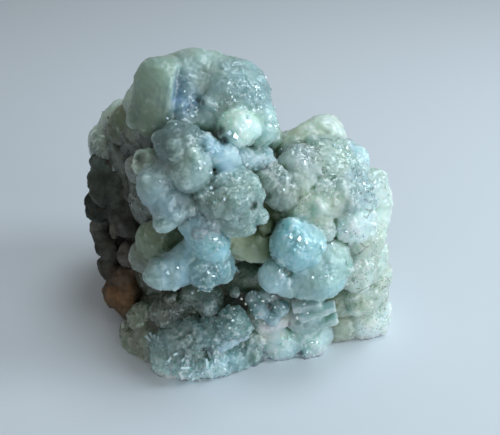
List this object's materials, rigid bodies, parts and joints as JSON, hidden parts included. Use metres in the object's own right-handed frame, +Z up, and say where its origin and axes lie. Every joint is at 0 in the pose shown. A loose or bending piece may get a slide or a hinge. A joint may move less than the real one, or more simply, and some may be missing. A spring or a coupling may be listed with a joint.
{
  "type": "prehnite specimen",
  "caption": "Natural lump of pale green botryoidal prehnite: rounded domes with sugary crystals, on dark rusty host rock. Rests on a flat underside.",
  "frame": {"origin": "middle of the flat underside that the stone rests on", "axes": "+Z up from the flat underside, -Y towards the display side with the domes, +Y towards the host rock at the back, +X towards the lower, speckled mass on the right"},
  "size_m": [0.0562, 0.0398, 0.0516],
  "materials": {
    "prehnite": "waxy, translucent, vitreous on crystal faces"
  },
  "bodies": {
    "root": {"prehnite": "prehnite"}
  },
  "joints": []
}
